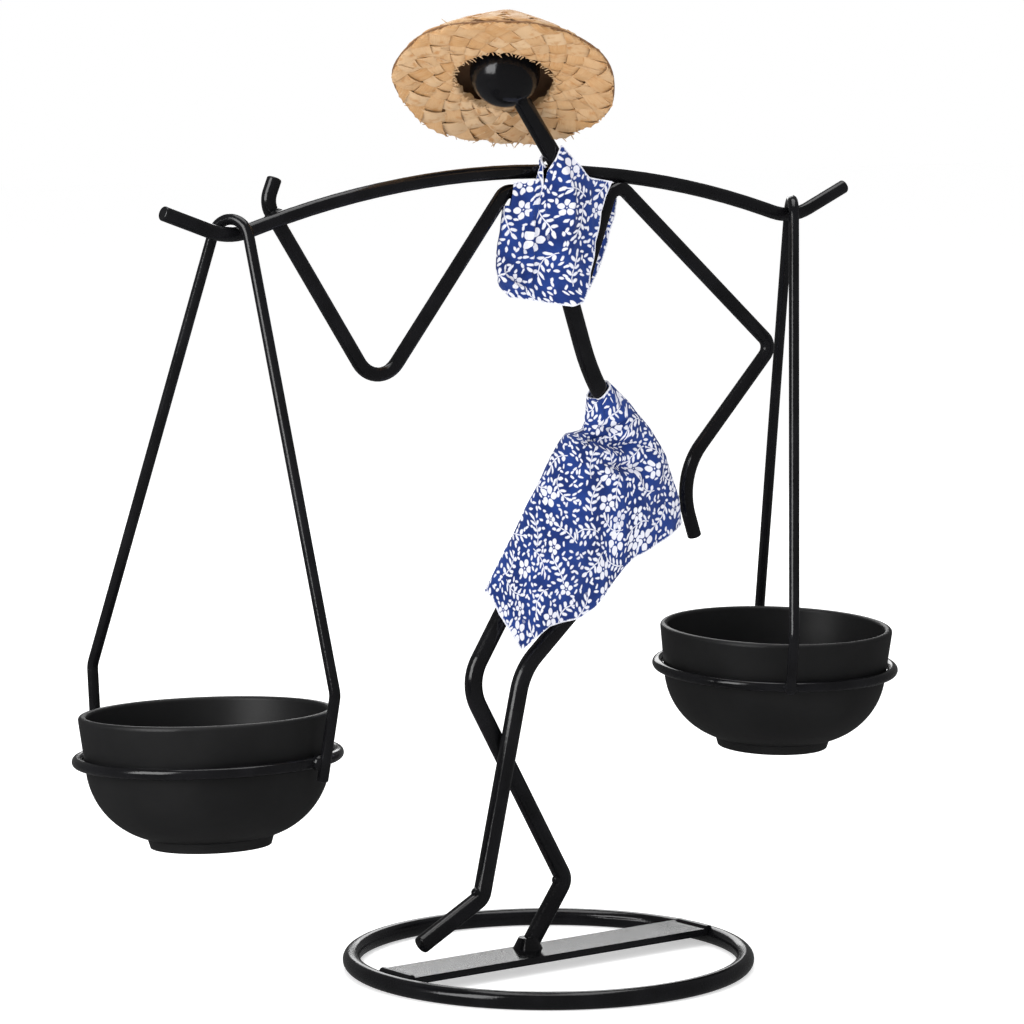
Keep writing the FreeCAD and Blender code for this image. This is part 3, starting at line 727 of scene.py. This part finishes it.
def smooth_path(points, count):
    """Points on a Catmull-Rom curve through a few given ones."""
    spots = [Vector(p) for p in points]
    spots = [spots[0] * 2 - spots[1], *spots, spots[-1] * 2 - spots[-2]]
    spans = len(spots) - 3
    found = []
    for index in range(count):
        t = spans * index / (count - 1)
        span = min(int(t), spans - 1)
        t -= span
        a, b, c, d = spots[span:span + 4]
        found.append(0.5 * (
            2 * b + (c - a) * t + (2 * a - 5 * b + 4 * c - d) * t ** 2
            + (3 * b - a - 3 * c + d) * t ** 3
        ))
    return found


def ribbon(path, widths, normals, columns, crown):
    """A strip along a path: a grid of points whose middle stands proud by crown."""
    rows = []
    for index, spot in enumerate(path):
        way = (path[min(index + 1, len(path) - 1)] - path[max(index - 1, 0)]).normalized()
        out = normals[index].normalized()
        side = out.cross(way).normalized()
        row = []
        for column in range(columns):
            s = 2 * column / (columns - 1) - 1
            row.append(spot + side * (s * widths[index] / 2) + out * (crown * (1 - s * s)))
        rows.append(row)
    return np.array([[list(point) for point in row] for row in rows])


def make_neck_tie():
    """The strap that runs behind the neck, from the right peak down to the left of the front."""
    count, columns = 40, 9
    low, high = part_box("neck_tie")
    ring = (low + high) / 2 / MM
    path = smooth_path([
        (8.6, 1.0, 222.5), (7.4, 2.4, 225.0), (5.4, 4.9, 225.8), (3.0, 5.0, 225.2),
        (1.2, 3.9, 223.8), (0.8, 2.4, 221.6),
    ], count)
    rod_x, rod_y = ring.x + 2.6, 1.7
    normals = [Vector((p.x - rod_x, p.y - rod_y, 0.5)) for p in path]
    widths = [3.4 * (0.8 + 0.2 * math.cos(2 * math.pi * i / (count - 1))) for i in range(count)]
    points = ribbon(path, widths, normals, columns, 0.5)
    across, along = np.meshgrid(np.arange(columns), np.arange(count))
    points[..., 1] += 0.25 * np.sin(across * 1.5 + along * 0.25)
    uvs = np.stack(np.meshgrid(np.linspace(-3, 3, columns), np.linspace(0, 24, count)), axis=-1) + 31.0
    made, area = cloth_piece("neck_strap", points, uvs, ("left", "right"))
    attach(made, "figure")
    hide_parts("neck_tie")


# ---------------------------------------------------------------- straw hat

HEAD_RADIUS = 9.6
OPENING_DROP = 2.0                 # from the head's centre down to the hat's opening
CROWN_SECTION = [(30.0, -0.9), (23.5, 4.6), (16.6, 9.9), (10.8, 14.2), (5.4, 18.2), (1.0, 21.2)]
BRIM_IN, BRIM_OUT = 13.9, 30.6
STRIPS = 20                        # in each of a braid's two families
STRIP_SPACING = 0.72               # room across a strip at about 45 degrees, as a share of its arc
DOWN = Vector((0, 0, -1))
FRAYED_RIM = slice(58, 78)         # the part of the rim where the straw has come loose
# How far the skin behind the strips is darkened towards near-black brown: painted shade for the gaps between
# strips.
PAINTED_GAP_SHADE = 0.75


def hat_frame():
    """A matrix to the hat's own axes: its origin in the middle of the opening, its Z up the crown."""
    axis = Vector(next(j for j in frame["joints"] if j["name"] == "hat_lift")["axis"]).normalized()
    low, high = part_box("head_ball")
    head = Vector(((low.x + high.x) / 2, (low.y + high.y) / 2, high.z - HEAD_RADIUS * MM)) / MM
    turn = axis.to_track_quat("Z", "Y").to_matrix().to_4x4()
    return Matrix.Translation(head - axis * OPENING_DROP) @ turn


def outward(angle):
    return Vector((math.cos(angle), math.sin(angle), 0))


def braid(rng, surface, slope, start, end, steps, lift, width):
    """Two families of flat strips that run opposite ways round a surface and weave over and under.

    surface(angle, s) gives a point, the outward normal and the room round the ring there.
    """
    grids = []
    for family in (1, -1):
        for number in range(STRIPS):
            rng.random()    # not used: it keeps every later draw, and so the hat's look, the same
            tone, jitter = rng.random(), rng.uniform(-0.025, 0.025)
            path, normals, widths = [], [], []
            for step in range(steps + 1):
                s = start + (end - start) * step / steps
                turn = family * slope(s) + jitter * math.sin(3 * s)
                spot, out, room = surface(2 * math.pi * number / STRIPS + turn, s)
                over = family * math.cos(STRIPS * slope(s))
                path.append(spot + out * (lift * over))
                normals.append(out)
                widths.append(room / STRIPS * width)
            grids.append((ribbon(path, widths, normals, 4, 0.12), tone, number * family))
    return grids


def polar(grid):
    """Radius and angle of each point about the hat's axis."""
    return np.hypot(grid[..., 0], grid[..., 1]), np.arctan2(grid[..., 1], grid[..., 0])


def fold_at_edge(grids, reach, floor):
    """Turn back what stands past the rim, so that the edge is one clean fold."""
    for grid, _, _ in grids:
        radius, angle = polar(grid)
        edge = reach + 0.35 * np.sin(7 * angle + 1.0) + 0.25 * np.sin(17 * angle)
        over = np.maximum(radius - edge, 0)
        folded = edge + 0.25 * (1 - np.exp(-over)) - 0.35 * over
        share = np.where(over > 0, folded / np.maximum(radius, 1e-6), 1.0)
        grid[..., :2] *= share[..., None]
        grid[..., 2] += np.minimum(over * 0.8, 1.1)
        grid[..., 2] = np.where(over > 0, np.maximum(grid[..., 2], floor), grid[..., 2])


def fold_at_opening(grids, reach):
    """Turn the strips' inner ends up into the opening."""
    for grid, _, _ in grids:
        radius, angle = polar(grid)
        edge = reach + 0.3 * np.sin(5 * angle) + 0.25 * np.sin(13 * angle + 2.0)
        under = np.maximum(edge - radius, 0)
        share = np.where(under > 0, (edge - 0.25 * under) / np.maximum(radius, 1e-6), 1.0)
        grid[..., :2] *= share[..., None]
        grid[..., 2] += np.minimum(0.9 * under, 1.3)


def straw_piece(name, grids, thickness=0.22):
    """One object from many strips, each a grid, a tone and a number of its own."""
    points, faces, uvs, tones = [], [], [], []
    for grid, tone, key in grids:
        rows, columns = grid.shape[:2]
        faces += grid_faces(rows, columns, start=len(points))
        length = run_length(grid[:, :1], 0)[:, 0]
        for row in range(rows):
            for column in range(columns):
                points.append(grid[row, column])
                uvs.append((length[row] + key * 37.0, 4.0 * column / (columns - 1)))
                tones.append(tone)
    made = new_mesh(
        name, points, faces, "strip", uvs, {"tone": tones, "shade": [0.0] * len(points)}, "straw",
    )
    thicken(made, thickness, 45)
    return made


def gap_shade_skin(name, surface, start, end, sink):
    """A skin a little behind the strips, so that no light comes through the gaps; it is coloured dark as painted
    shade, standing in for the shadow seen through the gaps between strips.
    """
    rings, spokes = 14, 72
    points = []
    for ring in range(rings):
        s = start + (end - start) * ring / (rings - 1)
        for spoke in range(spokes):
            spot, out, _ = surface(2 * math.pi * spoke / spokes, s)
            points.append(spot - out * sink)
    floats = {"tone": [0.2] * len(points), "shade": [PAINTED_GAP_SHADE] * len(points)}
    faces = grid_faces(rings, spokes, around=True)
    made = new_mesh(name, points, faces, "strip", [p[:2] for p in points], floats, "straw")
    thicken(made, 0.3)
    return made


def crown_place(s):
    """Which run of the crown's section s falls in, and how far along it."""
    t = s * (len(CROWN_SECTION) - 1)
    index = min(int(t), len(CROWN_SECTION) - 2)
    return index, t - index


def crown_surface(angle, s):
    """The crown's skin: s runs from the rim up to the tip."""
    index, share = crown_place(s)
    (r0, h0), (r1, h1) = CROWN_SECTION[index:index + 2]
    radius, height = r0 + (r1 - r0) * share, h0 + (h1 - h0) * share
    out = outward(angle)
    normal = (out * (h1 - h0) + Vector((0, 0, r0 - r1))).normalized()
    return out * radius + Vector((0, 0, height)), normal, 2 * math.pi * radius * STRIP_SPACING


def crown_slope(s):
    """How far a strip of the crown has turned by s, at about 45 degrees to the section."""
    last, share = crown_place(s)
    turned = 0.0
    for number in range(last + 1):
        (r0, h0), (r1, h1) = CROWN_SECTION[number:number + 2]
        run = math.hypot(r1 - r0, h1 - h0) * (share if number == last else 1.0)
        turned += run / max((r0 + r1) / 2, 3.0)
    return turned


def brim_radius(s):
    return BRIM_IN + (BRIM_OUT - BRIM_IN) * s


def brim_surface(angle, s):
    """The brim's underside: a shallow dish that waves a little, s from the opening outwards."""
    wave = 0.55 * math.sin(3 * angle + 0.6) + 0.3 * math.sin(5 * angle + 2.0)
    height = -0.9 - 1.1 * s * s + wave * s
    radius = brim_radius(s) + 0.35 * math.sin(7 * angle + 1.0) * s
    return outward(angle) * radius + Vector((0, 0, height)), DOWN, 2 * math.pi * radius * STRIP_SPACING


def brim_slope(s):
    """How far a strip of the brim has turned by s, so that it keeps about 45 degrees to the radius."""
    return math.log(brim_radius(s) / BRIM_IN)


def frayed_edge(rng, count, radius, spread, length, width, lift, inward=False):
    """Short torn ends of straw round the brim."""
    grids = []
    for number in range(count):
        out = outward(2 * math.pi * (number + rng.uniform(-0.4, 0.4)) / count)
        side = Vector((-out.y, out.x, 0))
        base = out * (radius + rng.uniform(-spread, spread))
        base.z = lift + rng.uniform(-0.15, 0.25)
        way = out * (-1 if inward else 1) + side * rng.uniform(-0.9, 0.9)
        reach = length * rng.uniform(0.5, 1.25)
        rise = rng.uniform(-0.5, 0.25)
        path = [base + way * (reach * t / 4) + Vector((0, 0, rise * (t / 4) ** 2)) for t in range(5)]
        taper = [width * rng.uniform(0.6, 1.3) * (1 - 0.12 * t ** 1.3) for t in range(5)]
        grids.append((ribbon(path, taper, [DOWN] * 5, 3, 0.05), rng.uniform(0.55, 1.0), number))
    return grids


def curled_strip():
    """One loose strip that curls down beside the head."""
    count, curl_radius = 16, 1.7
    start = Vector((-2.0, -14.7, -3.5))
    turns = [3.9 * step / (count - 1) for step in range(count)]
    ways = [Vector((0, math.cos(turn), math.sin(turn))) for turn in turns]
    path = [start + Vector((0.42 * step, 0, 0)) + curl_radius * way for step, way in enumerate(ways)]
    taper = [2.4 - 0.05 * step for step in range(count)]
    return ribbon(path, taper, ways, 3, 0.0), 0.9, 301


def make_hat():
    """The plaited hat: brim, crown, a dark skin of painted shade behind them and frayed edges, all on the hat's
    own axes.
    """
    rng = random.Random(11)
    place = hat_frame()
    brim = braid(rng, brim_surface, brim_slope, start=-0.1, end=1.13, steps=42, lift=0.42, width=0.90)
    crown = braid(rng, crown_surface, crown_slope, start=-0.05, end=1.0, steps=62, lift=0.36, width=0.93)
    fold_at_edge(brim, reach=30.1, floor=-9.0)
    fold_at_edge(crown, reach=29.9, floor=-1.2)
    fold_at_opening(brim, reach=13.9)
    torn = frayed_edge(rng, 70, 14.2, 0.5, length=1.3, width=0.45, lift=-1.3, inward=True)
    rim = frayed_edge(rng, 90, 29.4, 0.6, length=2.2, width=0.35, lift=-1.8)[FRAYED_RIM]
    loose = frayed_edge(rng, 26, 22.5, 6.5, length=4.2, width=0.35, lift=-2.0)
    pieces = [
        (straw_piece("hat_brim_plait", brim), "hat_brim"),
        (straw_piece("hat_crown_plait", crown), "hat_crown"),
        (straw_piece("hat_frayed_ends", torn + rim + loose + [curled_strip()], 0.14), None),
        (gap_shade_skin("hat_brim_gap_shade_skin", brim_surface, 0.04, 0.985, sink=0.55), None),
        (gap_shade_skin("hat_crown_gap_shade_skin", crown_surface, 0.02, 1.0, sink=0.5), None),
    ]
    for made, replaced in pieces:
        made.data.transform(Matrix.Scale(MM, 4) @ place @ Matrix.Scale(TO_MM, 4))
        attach(made, "hat")
        if replaced:
            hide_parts(replaced)


# ---------------------------------------------------------------- stage, light and camera

def make_floor():
    """A plain pale floor that glows a little and stays out of the reflections."""
    g = Graph("floor")
    g.set(Base_Color=(0.86, 0.86, 0.86), Roughness=0.9, Specular_IOR_Level=0.1)
    g.set(Emission_Color=(1, 1, 1), Emission_Strength=0.5)
    reach = 6.0
    corners = [(-reach, -reach, 0), (reach, -reach, 0), (reach, reach, 0), (-reach, reach, 0)]
    mesh = bpy.data.meshes.new("floor")
    mesh.from_pydata(corners, [], [(0, 1, 2, 3)])
    mesh.materials.append(g.material)
    floor = bpy.data.objects.new("floor", mesh)
    bpy.context.scene.collection.objects.link(floor)
    floor.visible_glossy = False


def make_world():
    """A white surround, dimmer in the light that it gives and dimmest in reflections."""
    world = bpy.data.worlds.new("studio")
    bpy.context.scene.world = world
    world.use_nodes = True
    tree = world.node_tree
    path = tree.nodes.new("ShaderNodeLightPath")
    reflected, seen = tree.nodes.new("ShaderNodeMix"), tree.nodes.new("ShaderNodeMix")
    for mix, ray, level in ((reflected, "Is Glossy Ray", 0.12), (seen, "Is Camera Ray", 1.0)):
        mix.data_type = "FLOAT"
        mix.inputs["B"].default_value = level
        tree.links.new(path.outputs[ray], mix.inputs["Factor"])
    reflected.inputs["A"].default_value = 0.6
    tree.links.new(reflected.outputs["Result"], seen.inputs["A"])
    back = tree.nodes["Background"]
    back.inputs["Color"].default_value = (1, 1, 1, 1)
    tree.links.new(seen.outputs["Result"], back.inputs["Strength"])
    bpy.context.scene.view_settings.view_transform = "Standard"


LIGHT_TARGET = Vector((0.0, 0.0, 0.14))


def area_light(name, place, width, height, power):
    """A soft lamp that faces the middle of the object."""
    data = bpy.data.lights.new(name, "AREA")
    data.shape, data.size, data.size_y, data.energy = "RECTANGLE", width, height, power
    lamp = bpy.data.objects.new(name, data)
    lamp.location = place
    lamp.rotation_euler = (LIGHT_TARGET - Vector(place)).to_track_quat("-Z", "Y").to_euler()
    bpy.context.scene.collection.objects.link(lamp)
    return lamp


def make_lights():
    """Softboxes on the left, beside the camera, over the object and behind it."""
    area_light("key", (-0.97, -0.05, 0.53), 0.6, 0.7, 9.0)
    fill = area_light("fill", (0.1, -1.2, 0.5), 0.5, 0.8, 4.0)
    fill.visible_glossy = False
    area_light("top", (0.1, 0.1, 1.2), 0.8, 0.8, 6.0)
    area_light("rim", (0.6, 0.9, 0.6), 0.5, 0.7, 3.0)


CAMERA_PLACE = (-0.7121, -0.9086, 0.2542)
CAMERA_WAY = (0.6065, 0.7876, -0.1090)
CAMERA_ROLL = -0.15
LENS = 147.7


def make_camera():
    data = bpy.data.cameras.new("camera")
    data.lens, data.sensor_width = LENS, 36
    data.clip_start, data.clip_end = 0.01, 50
    camera = bpy.data.objects.new("camera", data)
    aim = Vector(CAMERA_WAY).to_track_quat("-Z", "Y").to_matrix().to_4x4()
    roll = Matrix.Rotation(math.radians(CAMERA_ROLL), 4, "Z")
    camera.matrix_world = Matrix.Translation(CAMERA_PLACE) @ aim @ roll
    bpy.context.scene.collection.objects.link(camera)
    bpy.context.scene.camera = camera


# ---------------------------------------------------------------- the scene

make_camera()
make_floor()
make_world()
make_lights()
dress_cad_nodes()
make_blouse()
make_skirt()
make_neck_tie()
make_hat()
